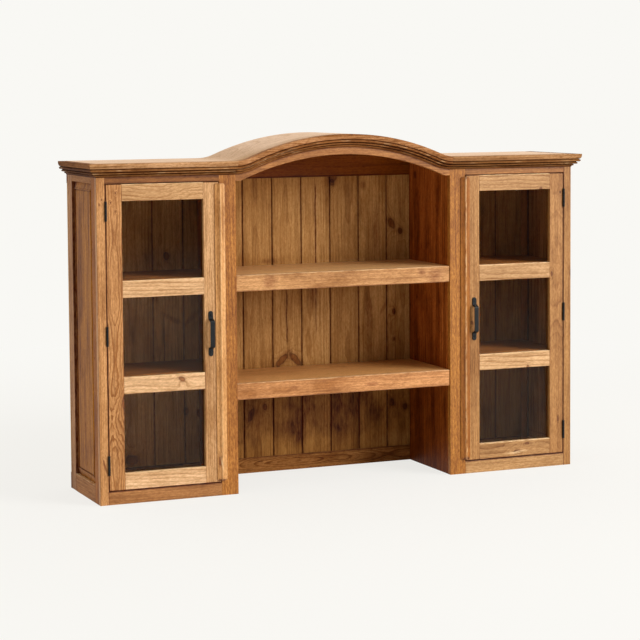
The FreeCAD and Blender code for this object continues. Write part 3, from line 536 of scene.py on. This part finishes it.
# %% Face frame
FRAME_HEAD, FRAME_FOOT = 1.0655, 0.0445
CROWN_FOOT = 1.086
FRAME_KNOTS = {
    "left": [(-0.871, 1.014, 0.002, 0.003), (-0.881, 0.998, 0.002, 0.004), (-0.874, 0.135, 0.0022, 0.016, 14)],
    "right": [(0.888, 0.700, 0.0022, 0.010)],
}
for s, side in SIDES:
    # The outer stile has a line of painted shade along the gap beside the door.
    dress(waxed_pine(
        side + "_outer_stile_pine", "z", "y", either(s, "#efb579", "#cc995e"), 19 + s, spacing=0.006,
        pith=(s * 0.97, FRONT + 0.04), lines=0.9, grime_and_shade=[("x", s * OPENING_EDGE, 0.004, 0.9)],
        knots=FRAME_KNOTS[side],
    ), side + "_outer_stile")
    dress(waxed_pine(
        side + "_inner_stile_pine", "z", "y", either(s, "#d79344", "#d18f3e"), 23 + s, spacing=0.009,
        pith=(s * 0.35, FRONT + 0.05), lines=0.8, mottle=1.0, flecks=0.7,
    ), side + "_inner_stile")
    # The top rail has a line of painted shadow under the crown, and painted shade at the gap above the door.
    dress(waxed_pine(
        side + "_top_rail_pine", "x", "y", either(s, "#a56b33", "#bd8346"), 27 + s, spacing=0.006,
        pith=(1.2, FRONT + 0.04), flecks=0.6,
        grime_and_shade=[("z", CROWN_FOOT, 0.007, 0.7), ("z", FRAME_HEAD, 0.004, 0.8)],
    ), side + "_top_rail")
    dress(waxed_pine(
        # The bottom rail has a line of painted shade along the gap under the door.
        side + "_bottom_rail_pine", "x", "y", either(s, "#ce945c", "#d9ac77"), 29 + s, spacing=0.007,
        pith=(-0.08, FRONT + 0.04), lines=0.5, grime_and_shade=[("z", FRAME_FOOT, 0.0055, 1.1)],
    ), side + "_bottom_rail")
print("the frame's opening is", round(FRAME_HEAD - FRAME_FOOT, 3), "m high")

# %% Along the crown
CROWN_RISE, FOOT_X, FOOT_RADIUS = 0.085, 0.412, 0.190
both_radii = (FOOT_X ** 2 + CROWN_RISE ** 2) / (2 * CROWN_RISE)
ARCH_RADIUS = both_radii - FOOT_RADIUS
ARCH_CENTRE = CROWN_FOOT + CROWN_RISE - ARCH_RADIUS
MEETING_X = ARCH_RADIUS * FOOT_X / both_radii


def crown_lift(board):
    """Height above the foot of the moulding, square to its curve."""
    x, z = abs(board.place[0]), board.place[2]
    up, out, rise = z - ARCH_CENTRE, x - FOOT_X, z - (CROWN_FOOT + FOOT_RADIUS)
    over_arch = (x * x + up * up) ** 0.5 - ARCH_RADIUS
    over_foot = (out * out + rise * rise) ** 0.5 * -1 + FOOT_RADIUS
    past_arch, past_foot = x.climb(MEETING_X, MEETING_X + 0.001), x.climb(FOOT_X - 0.001, FOOT_X)
    curved = over_arch * (1 - past_arch) + over_foot * past_arch
    return curved * (1 - past_foot) + (z - CROWN_FOOT) * past_foot


print("arch radius", round(ARCH_RADIUS, 4), "centre", round(ARCH_CENTRE, 4), "meets the foot at", round(MEETING_X, 4))

# %% Painted shade in the hollows and painted highlight on the crests of the moulding, by their height above its foot
LOWEST_QUIRK, MIDDLE_QUIRK, UPPER_QUIRK, FASCIA_QUIRK = 0.0, 0.0097, 0.0177, 0.0279
LOW_CREST, MIDDLE_CREST, TOP_CREST, RUBBED_EDGE = 0.0068, 0.0135, 0.0230, 0.0182


def quirks(board):
    """Painted shade in the hollows beside the beads."""
    lift = crown_lift(board)
    lowest, middle = lift.near(LOWEST_QUIRK, 0.005) * 0.6, lift.near(MIDDLE_QUIRK, 0.0022)
    return lowest + middle + lift.near(UPPER_QUIRK, 0.0030) + lift.near(FASCIA_QUIRK, 0.0026) * 1.1


# Painted shadow cast by the fascia on the beads below it.
def below_fascia(board):
    return crown_lift(board).climb(0.0295, 0.0275) * 1.1


def shade_on_beads(board):
    """A little painted shade all over the beads of the left run."""
    return below_fascia(board) * 0.22


# Painted highlights along the bead crests, broken by noise, and a stretch of the left run rubbed pale.
def bead_crests(board):
    lift = crown_lift(board)
    crests = lift.near(LOW_CREST, 0.003) + lift.near(MIDDLE_CREST, 0.003) + lift.near(TOP_CREST, 0.004)
    rubbed = lift.near(RUBBED_EDGE, 0.0028) * board.place[0].near(-0.30, 0.14)
    return crests * board.noise(60.0, 14.0).climb(0.52, 0.72) * 0.45 + rubbed * 1.2


print("quirks are at", (LOWEST_QUIRK, MIDDLE_QUIRK, UPPER_QUIRK, FASCIA_QUIRK), "m above the crown's foot")

# %% Crown, arched rail and top
CROWN = dict(spacing=0.006, pith=(1.25, FRONT + 0.02), lean=0.0, lines=0.9, streaks=0.8, bands=1.0, flecks=0.9,
             wear_and_highlight=[bead_crests], gloss=0.7, wax=0.0, shine=0.12)


def towards_arch(s, most):
    """The runs darken with painted shadow under the fascia, and along their length towards the arch."""
    return lambda board: below_fascia(board) + board.place[0].climb(s * 0.75, s * 0.41) * most


def under_arch_shade(board):
    """The top boards are darker along the front, and where the left run dips before the arch."""
    return board.place[1].climb(-0.06, -0.17) * 0.5 + board.place[0].near(-0.37, 0.12) * 0.4


for s, side in SIDES:
    run = dict(CROWN, grime_and_shade=either(s, [quirks, shade_on_beads], [quirks]), fade=towards_arch(s, either(s, 0.4, 0.1)))
    dress(waxed_pine(side + "_crown_pine", "x", "y", either(s, "#ebbc92", "#be9167"), 51 + s, **run), side + "_crown")
    dress(waxed_pine(side + "_return_pine", "y", "x", "#b27c4a", 55 + s, **run), side + "_crown_return")
dress(waxed_pine("arched_crown_pine", "x", "y", "#d19b6e", 59, grime_and_shade=[quirks], fade=below_fascia, **CROWN),
      "arched_crown")
# The arched rail carries a line of painted shadow under the arched crown.
dress(waxed_pine("arched_rail_pine", "x", "y", "#c88a4c", 61, spacing=0.010, pith=(1.0, FRONT + 0.04), lines=0.6,
                 flecks=0.6, grime_and_shade=[lambda board: crown_lift(board).near(0.0, 0.006) * 0.6]), "arched_rail")
dress(waxed_pine("top_pine", "x", "z", "#ffdfc4", 63, spacing=0.012, pith=(0.1, 1.0), lines=0.5, streaks=0.25,
                 bands=0.2, mottle=0.3, odd=0.0, fade=under_arch_shade, gloss=0.75, wax=0.0, shine=0.15),
      "top_boards", "bonnet_board")
print("crown dressed:", [name for name in nodes if "crown" in name])

# %% [markdown]
# The sides are frame and panel. The panel has been washed more than it has been waxed and is greyer, with
# grime and painted shade in the groove round it and a stripe of painted shade along its back edge. The left
# side's tones are painted darker and redder, as painted warm shade, and the right side, which stands in the
# light, is paler. The dividers stand in the shade of the open bay: their tone is painted dark and nearly orange
# as painted shade, streaked, and darker still with painted shade towards the back and low down. Wood in deep
# shade has little shine, or its colour would be lost under a haze.

# %% Sides
DULL = dict(wax=0.0, shine=0.1)
BACK_GROOVE, FRONT_GROOVE = 0.1257, -0.1050
# PANEL_EDGES: painted shade with some grime in the groove round the panel, and a painted shadow under the top rail;
# the posts carry painted shade beside the grooves.
PANEL_EDGES = [("y", BACK_GROOVE, 0.010, 0.9), ("y", FRONT_GROOVE, 0.005, 0.8), ("z", 0.058, 0.006, 0.7),
               ("z", 1.067, 0.006, 0.8)]
FIELD_BEAD = [("y", 0.0985, 0.0026, 0.7), ("y", -0.0755, 0.0026, 0.7), ("z", 0.086, 0.0026, 0.7),
              ("z", 1.039, 0.0026, 0.7)]
PANEL_SMUDGES = [(-0.02, 0.56, 0.012, 0.05), (0.055, 0.82, 0.018, 0.16), (0.020, 0.30, 0.014, 0.18),
                 (-0.050, 0.90, 0.010, 0.10), (0.070, 0.48, 0.012, 0.14)]
# The left side's tones are painted darker and redder than the right side's, as painted warm shade.
for s, side in SIDES:
    dress(waxed_pine(
        side + "_front_post_pine", "z", "x", either(s, "#c3791d", "#bf8a50"), 31 + s, spacing=0.007,
        pith=(0.3, s * 0.84), lines=0.7, bands=0.9, flecks=0.8, grime_and_shade=[("y", -0.1023, 0.004, 0.7)], **DULL,
    ), side + "_side_front_post")
    dress(waxed_pine(
        side + "_back_post_pine", "z", "x", either(s, "#d29d71", "#bf8a54"), 81 + s, spacing=0.007,
        pith=(0.3, s * 0.84), lines=0.7, bands=0.9, flecks=0.5, grime_and_shade=[("y", BACK_GROOVE, 0.005, 0.9)], **DULL,
    ), side + "_side_back_post")
    # The bottom rail's top edge is pale, partly worn and partly painted highlight.
    dress(waxed_pine(
        side + "_side_rail_pine", "y", "x", either(s, "#c88a48", "#c08c54"), 33 + s, spacing=0.007,
        pith=(-0.2, s * 0.84), lines=0.7, flecks=0.5, wear_and_highlight=[("z", 0.060, 0.004, 0.8)], **DULL,
    ), side + "_side_rails")
    # Besides the groove, a broad stripe of painted shade runs along the panel's back edge, strong on the left and
    # faint on the right.
    dress(waxed_pine(
        side + "_side_panel_pine", "z", "x", either(s, "#d7943b", "#d0a168"), 35 + s, spacing=0.008,
        pith=(0.16, s * 0.86), lines=1.1, streaks=0.9, bands=1.0, smudges=PANEL_SMUDGES,
        grime_and_shade=PANEL_EDGES + [("y", 0.1120, 0.030, either(s, 1.0, 0.25))] + FIELD_BEAD, **DULL,
    ), side + "_side_panel")
print("marks on each side panel:", len(PANEL_EDGES + FIELD_BEAD + PANEL_SMUDGES) + 1)

# %% Dividers
DIVIDER_SMUDGES = [(0.105, 0.95, 0.018, 0.12), (0.030, 0.87, 0.014, 0.12), (-0.060, 0.93, 0.014, 0.14),
                   (-0.070, 0.58, 0.016, 0.09), (0.135, 0.53, 0.018, 0.10), (0.020, 0.55, 0.014, 0.08),
                   (-0.020, 0.22, 0.016, 0.10), (0.090, 0.18, 0.022, 0.12)]


# Painted shade, deeper towards the back of the bay and lower down.
def deep_in_bay(board):
    return board.place[1].climb(-0.12, 0.17) * 0.35 + board.place[2].climb(0.5, 0.2) * 0.95


for s, side in SIDES:
    # The dividers' tone is painted dark and orange as the shade of the bay, with a line of painted shade in the
    # corner by the planks.
    dress(waxed_pine(
        side + "_divider_pine", "z", "x", "#d07f3d", 39 + s, spacing=0.015, pith=(0.12, s * 0.46), lines=1.0,
        streaks=0.9, bands=1.3, flecks=0.7, knots=[(0.122, 1.056, 0.008, 0.012)], smudges=DIVIDER_SMUDGES,
        grime_and_shade=[("y", 0.172, 0.010, 0.5)], fade=deep_in_bay, **DULL,
    ), side + "_divider")
print("dark streaks on each divider:", len(DIVIDER_SMUDGES))

# %% [markdown]
# The back is sixteen narrow boards, each with its own tree behind it: its number moves its pith, its streaks
# and its tone. Old knots, two spike knots that meet like a bird's wings, and drying cracks are each put in
# their own place. The V joints have filled with grime. Brown clouds low down, partly smoke and damp stains and
# partly painted shade, end in an uneven line above the bottom rail. Painted shade darkens the boards under the
# crown and each shelf, in the lowest bay, across the bay and inside the cabinets, with a redder painted cast
# beside the right divider. Only the faces towards the room are painted so.

# %% Planks, their joints and cracks
PLANK, PLANK_SHIFT = 0.1125, 0.026


def plank_number(x, y, z):
    return ((x + PLANK_SHIFT) / PLANK).whole()


def plank_joints(board):
    share = ((board.place[0] + PLANK_SHIFT) / PLANK).fraction()
    narrow, wide = (share.near(0.0, reach) + share.near(1.0, reach) for reach in (0.046, 0.12))
    return narrow * 0.85 + wide * 0.15


def crack(x, low, high, strength=1.0):
    """A fine crack along a plank between two heights."""
    def line(board):
        waver = (board.noise(0.0, 14.0) - 0.5) * 0.008
        height = board.place[2]
        ends = height.climb(low, low + 0.03) * height.climb(high, high - 0.05)
        return (board.place[0] + waver).near(x, 0.0048) * ends * strength
    return line


low_corner, high_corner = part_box("back_planks")
print("planks across the back:", math.ceil((high_corner.x - low_corner.x) / PLANK))

# %% Smoke, damp and painted shade on the planks
def in_bay(board):
    return abs(board.place[0]).climb(0.44, 0.40)


def room_side(board):
    """1 on the faces towards the room, 0 on the faces towards the wall."""
    return board.place[1].climb(0.185, 0.180)


def ends_of_bays(board):
    """Painted shade: darker under the crown, under each shelf, in the lowest bay, across the bay and inside the
    cabinets.
    """
    x, height = board.place[0], board.place[2]
    under = height.climb(0.93, 1.06) * 0.35 + height.near(0.680, 0.060) * 0.35 + height.near(0.760, 0.035) * 0.25
    low = height.climb(0.42, 0.30) * 1.15 - height.near(0.08, 0.07) * 0.5
    shade = 0.45 - x.climb(0.15, 0.38) * 0.45 + x.climb(0.0, -0.3) * (height.climb(0.8, 1.0) * 0.2 + 0.15)
    cabinets = x.climb(0.42, 0.46) * 0.75 + x.climb(-0.42, -0.46) * height.climb(0.70, 0.78) * 0.35
    return ((under + low + shade) * in_bay(board) + cabinets) * room_side(board)


def clouds_and_shade(board):
    """Uneven brown clouds in the lowest bay, partly stain and partly painted shade, and a redder cast of painted
    shade beside the right divider.
    """
    x, height = board.place[0], board.place[2]
    low = height.climb(0.38, 0.30) * x.climb(0.36, 0.22)
    tide = (height + (board.noise(9.0, 5.0) - 0.5) * 0.20).climb(0.105, 0.135)
    clouds = board.noise(13.0, 8.0).climb(0.42, 0.62) * 0.42 + x.near(0.08, 0.30) * 0.32 + 0.18
    return (clouds * low * (tide * 0.85 + 0.15) + x.climb(0.25, 0.38) * 0.07) * (in_bay(board) * room_side(board))


# Both darken the room side of the planks: the first with painted shade, the second with stain and painted shade.
print("stains on the planks:", ends_of_bays.__name__, "and", clouds_and_shade.__name__)

# %% The boarded back
PLANK_KNOTS = [
    (0.331, 0.880, 0.011, 0.018, 25), (0.367, 0.850, 0.008, 0.010), (0.341, 0.555, 0.006, 0.010),
    (-0.106, 0.398, 0.010, 0.028, -45), (-0.052, 0.400, 0.010, 0.028, 42), (0.341, 0.452, 0.004, 0.006),
    (-0.225, 0.209, 0.009, 0.022, -20), (-0.171, 0.234, 0.007, 0.010), (0.331, 0.219, 0.008, 0.012),
    (0.384, 0.200, 0.008, 0.010), (-0.538, 0.792, 0.009, 0.012), (-0.471, 0.240, 0.008, 0.012),
    (-0.422, 0.230, 0.008, 0.012), (-0.673, 0.080, 0.020, 0.016), (0.098, 1.052, 0.014, 0.016),
    (0.096, 1.035, 0.008, 0.010),
]
PLANK_SMUDGES = [
    (-0.088, 0.150, 0.030, 0.035), (0.130, 0.125, 0.030, 0.040), (0.265, 0.187, 0.035, 0.040),
    (0.219, 1.023, 0.012, 0.014), (-0.147, 0.758, 0.030, 0.008), (0.300, 0.572, 0.006, 0.030, -30),
    (-0.515, 0.569, 0.008, 0.042, 60), (-0.450, 0.566, 0.008, 0.034, -46), (-0.200, 0.200, 0.045, 0.060),
    (0.350, 0.210, 0.055, 0.055), (0.240, 0.560, 0.014, 0.080), (0.020, 0.640, 0.016, 0.050),
    (0.270, 0.860, 0.012, 0.070), (0.329, 0.886, 0.010, 0.012, 25), (0.367, 0.850, 0.007, 0.008),
    (0.331, 0.222, 0.012, 0.014), (0.384, 0.200, 0.010, 0.013), (0.341, 0.555, 0.007, 0.010),
    (-0.225, 0.209, 0.006, 0.012, -20),
]
CRACKS = [crack(-0.084, 0.45, 0.68), crack(0.030, 0.72, 1.06, 1.2), crack(0.030, 0.48, 0.70, 0.7),
          crack(-0.549, 0.35, 0.6)]
dress(waxed_pine(
    "plank_pine", "z", "y", "#deb073", 69, plank_number, PLANK, 0.010, pith=(0.03, 0.215), lean=0.0, wander=0.04,
    lines=0.7, streaks=0.5, bands=0.7, mottle=0.5, odd=0.6, knots=PLANK_KNOTS, smudges=PLANK_SMUDGES,
    fade=ends_of_bays, grime_and_shade=[plank_joints, clouds_and_shade] + CRACKS, **DULL,
), "back_planks")
# The back top rail's dark tone is painted shade under the arch, with a further line of painted shade along its edge.
dress(waxed_pine("back_top_rail_pine", "x", "y", "#8a4907", 65, spacing=0.010, pith=(1.3, 0.22),
                 grime_and_shade=[("z", 1.0590, 0.004, 0.8)], **DULL), "back_top_rail")
dress(waxed_pine("back_bottom_rail_pine", "x", "y", "#b9834a", 67, spacing=0.0045, pith=(0.03, 0.20), wander=0.09,
                 lines=1.9, bands=1.1, flecks=0.8, grime_and_shade=[("z", 0.0530, 0.004, 0.7)], **DULL), "back_bottom_rail")
print("knots on the planks:", len(PLANK_KNOTS), "smudges:", len(PLANK_SMUDGES), "cracks:", len(CRACKS))

# %% [markdown]
# The two open shelves are darker and redder towards the back. A deep lipping hides each board's edge; its
# top arris is pale, partly worn and partly painted highlight. The shelves inside the cabinets match the dark
# boards behind them.

# %% Open shelves
def towards_back(board):
    return board.place[1].climb(-0.16, 0.18) * 0.4


def reddened(board):
    return board.place[1].climb(-0.15, 0.12) * 0.2


LIPPING = 0.055
LIPPING_SMUDGES = {
    "upper": [(0.720, -0.280, 0.022, 0.020), (0.728, 0.296, 0.014, 0.014), (0.716, 0.345, 0.024, 0.026)],
    "lower": [(0.345, 0.100, 0.008, 0.020), (0.350, -0.190, 0.006, 0.016)],
}
SHELVES = ((71, "upper", 0.745, "#ffd094", "#e6af76"), (73, "lower", 0.376, "#f4ba77", "#f0b075"))
for seed, name, top, tone, lip in SHELVES:
    dress(waxed_pine(
        name + "_shelf_pine", "x", "z", tone, seed, spacing=0.010, pith=(0.10, top - 0.07), lines=0.6, streaks=0.4,
        bands=0.26, mottle=0.5, odd=0.0, fade=towards_back, grime_and_shade=[reddened], gloss=0.40, wax=0.15,
    ), name + "_centre_shelf")
    # The lipping's top arris is pale: wear and painted highlight.
    dress(waxed_pine(
        name + "_lipping_pine", "x", "y", lip, seed + 4, spacing=0.009, pith=(top - 0.40, FRONT + 0.05), lines=0.7,
        bands=0.8, smudges=LIPPING_SMUDGES[name], grime_and_shade=[("z", top - LIPPING, 0.005, 0.5)],
        wear_and_highlight=[("z", top, 0.0035, 0.9)],
    ), name + "_shelf_lipping")
print("tops of the open shelves:", [top for _, _, top, _, _ in SHELVES])

# %% Inside the cabinets
for s, side in SIDES:
    dress(waxed_pine(side + "_cabinet_pine", "x", "z", "#a8713c", 43 + s, spacing=0.012, pith=(0.1, -0.1),
                     fade=towards_back, **DULL), side + "_cabinet_bottom", side + "_cabinet_shelves")
    dress(waxed_pine(side + "_glass_bead_pine", "z", "y", "#a8713c", 47 + s, spacing=0.006),
          side + "_door_glass_beads")

# %% [markdown]
# Old window glass is thin, flat and a little warm. A Principled shader with full transmission bends and
# mirrors as glass does; an index of refraction below real glass, and a warm tint to what it mirrors, keep the
# pale studio from veiling the panes. Lamps can't reach through such glass by themselves, so shadow rays meet a
# clear shader instead, and the shelves behind the panes are lit.

# %% Glass
glass = new_material("old_window_glass")
pane = Wire.node("BsdfPrincipled", {
    "Base Color": linear("#faf4ec"), "Roughness": 0.02, "IOR": 1.24, "Transmission Weight": 1.0,
    "Specular Tint": (1.0, 0.88, 0.80, 1),
})
open_air = Wire.node("BsdfTransparent")
finish_with(Wire.node("MixShader", {0: Wire.node("LightPath", output="Is Shadow Ray"), 1: pane, 2: open_air}))
dress(glass, "left_door_panes", "right_door_panes")
print("glass on the nodes", [name for name in nodes if name.endswith("panes")])

# %% [markdown]
# The pulls and hinges are black iron: forged, with a dull wax finish, darker in the hollows and a little
# brighter where fingers rub. The magnet's box is brown plastic, and its plate bare steel.

# %% Ironwork
def black_iron(name, tone, rough):
    made = new_material(name)
    hammer = speckle(object_place(), 130.0)
    fine = speckle(object_place(), 900.0)
    colour = paint(linear(tone), linear("#2c2d2d"), hammer.climb(0.5, 0.75) * 0.5)
    bump = Wire.node("Bump", {"Height": hammer + fine * 0.2, "Strength": 0.5, "Distance": 0.0008})
    finish_with(Wire.node("BsdfPrincipled", {
        "Base Color": colour, "Roughness": fine * 0.15 + rough, "Metallic": 0.5, "Normal": bump,
    }))
    return made


iron = black_iron("black_iron", "#101315", 0.42)
for side in ("left", "right"):
    dress(iron, side + "_door_pull", side + "_hinge_frame_leaves", side + "_hinge_door_leaves")
    dress(black_iron(side + "_strike_steel", "#8b8c8c", 0.3), side + "_door_strike")
dress(black_iron("catch_brown", "#3b2a1e", 0.5), "door_catches")
print("iron on the nodes", [name for name, node in nodes.items() if iron in list(node.data.materials)])

# %% [markdown]
# Each pull is held by two round-headed screws, each hinge leaf by three flat ones sunk level with the iron,
# the catch by two and its plate by one. A screw starts as a short cylinder. The rim of its head is selected
# by height and bevelled round, and the slot is cut by a thin bar with a Boolean. One screw of each kind is
# made, then copied with its own mesh, turned to face out of its plate, and no two slots line up, because no
# one who fits hinges by hand stops a screw just so.

# %% One screw of each kind
def make_screw(name, radius, proud, rounding):
    """A slotted head standing proud of z = 0, pointing up."""
    bpy.ops.object.select_all(action="DESELECT")
    sunk = 0.001
    middle = (0, 0, (proud - sunk) / 2)
    bpy.ops.mesh.primitive_cylinder_add(vertices=28, radius=radius, depth=proud + sunk, location=middle)
    screw = bpy.context.object
    screw.name = name
    bpy.ops.object.transform_apply()
    for part in (screw.data.polygons, screw.data.vertices):
        part.foreach_set("select", [False] * len(part))
    for edge in screw.data.edges:
        edge.select = all(screw.data.vertices[corner].co.z > proud - 1e-6 for corner in edge.vertices)
    bpy.ops.object.mode_set(mode="EDIT")
    bpy.ops.mesh.select_mode(type="EDGE")
    bpy.ops.mesh.bevel(offset=rounding, segments=4)
    bpy.ops.object.mode_set(mode="OBJECT")
    bpy.ops.mesh.primitive_cube_add(size=1, location=(0, 0, proud))
    bar = bpy.context.object
    bar.scale = (radius * 3, radius * 0.3, min(proud, radius * 0.5))
    bpy.ops.object.transform_apply()
    slot = screw.modifiers.new("slot", "BOOLEAN")
    slot.object = bar
    bpy.context.view_layer.objects.active = screw
    bpy.ops.object.modifier_apply(modifier=slot.name)
    bpy.data.objects.remove(bar)
    screw.data.materials.append(iron)
    return screw


round_head = make_screw("round_head", 0.0034, 0.0017, 0.0014)
flat_head = make_screw("flat_head", 0.0031, 0.00025, 0.0001)
print("screw heads:", len(round_head.data.polygons), "and", len(flat_head.data.polygons), "faces")

# %% Screws in their plates
fitted = []


def drive(model, name, where, facing, body):
    """A copy of a screw with its head towards facing."""
    piece = model.copy()
    piece.data = model.data.copy()
    piece.name = name
    aim = Vector(facing).to_track_quat("Z", "Y").to_matrix().to_4x4()
    twist = Matrix.Rotation(0.7 * len(fitted), 4, "Z")
    piece.data.transform(Matrix.Translation(where) @ aim @ twist)
    bpy.context.scene.collection.objects.link(piece)
    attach(piece, body)
    fitted.append(piece)


HINGE_HEIGHT, MIDDLE_HINGE = 0.065, 0.5295
lowest_leaf, highest_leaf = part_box("left_hinge_door_leaves")
HINGE_FEET = (lowest_leaf.z, MIDDLE_HINGE, highest_leaf.z - HINGE_HEIGHT)
LEAF_HOLES, LEAF_MIDDLE = (0.0108, 0.0325, 0.0542), -0.1510
PULL_HOLES, CATCH_HOLES = (0.4905, 0.6165), (0.472, 0.506)
for s, side in SIDES:
    for row, z in enumerate(PULL_HOLES):
        drive(round_head, f"{side}_pull_screw_{row + 1}", (s * 0.497, FRONT - 0.0036, z), (0, -1, 0), side + "_door")
    for hinge, foot in enumerate(HINGE_FEET):
        for row, hole in enumerate(LEAF_HOLES):
            number, height = f"{hinge + 1}_{row + 1}", foot + hole
            drive(flat_head, f"{side}_frame_leaf_screw_{number}", (s * OPENING_EDGE, LEAF_MIDDLE, height), (-s, 0, 0),
                  "case")
            drive(flat_head, f"{side}_door_leaf_screw_{number}", (s * DOOR_EDGE, LEAF_MIDDLE, height), (s, 0, 0),
                  side + "_door")
    for row, x in enumerate(CATCH_HOLES):
        drive(round_head, f"{side}_catch_screw_{row + 1}", (s * x, -0.1244, 0.7093), (0, 0, -1), "case")
    drive(flat_head, side + "_strike_screw", (s * 0.489, -0.1348, 0.7163), (0, 1, 0), side + "_door")
for model in (round_head, flat_head):
    bpy.data.objects.remove(model)
print("screws:", len(fitted))

# %% [markdown]
# Nothing on an old cupboard has a razor-sharp arris. Live modifiers soften the built pieces without touching
# their meshes: Weld joins the loose triangles, Decimate dissolves the flat ones into whole faces, and Bevel
# rounds what is left sharper than forty degrees. Doors and lippings, which are handled, are rounded most.

# %% Softened arrises
def soften(width, *names):
    for name in names:
        weld = nodes[name].modifiers.new("join_triangles", "WELD")
        weld.merge_threshold = 0.00001
        flat = nodes[name].modifiers.new("whole_faces", "DECIMATE")
        flat.decimate_type = "DISSOLVE"
        flat.angle_limit = math.radians(0.5)
        arris = nodes[name].modifiers.new("arris", "BEVEL")
        arris.width = width
        arris.segments = 2
        arris.limit_method = "ANGLE"
        arris.angle_limit = math.radians(40)


HANDLED = ("door_hinge_stile", "door_lock_stile", "door_rails")
FRAMING = ("outer_stile", "inner_stile", "top_rail", "bottom_rail", "side_front_post", "side_back_post",
           "side_rails", "divider", "cabinet_shelves")
FINE = ("door_pull", "crown", "crown_return", "door_strip")
for side in ("left_", "right_"):
    soften(0.0018, *(side + name for name in HANDLED))
    soften(0.0012, *(side + name for name in FRAMING))
    soften(0.0005, *(side + name for name in FINE))
soften(0.0022, "upper_shelf_lipping", "lower_shelf_lipping")
soften(0.0005, "arched_crown", "arched_rail")
print("softened:", sum(1 for node in nodes.values() if node.modifiers), "nodes")
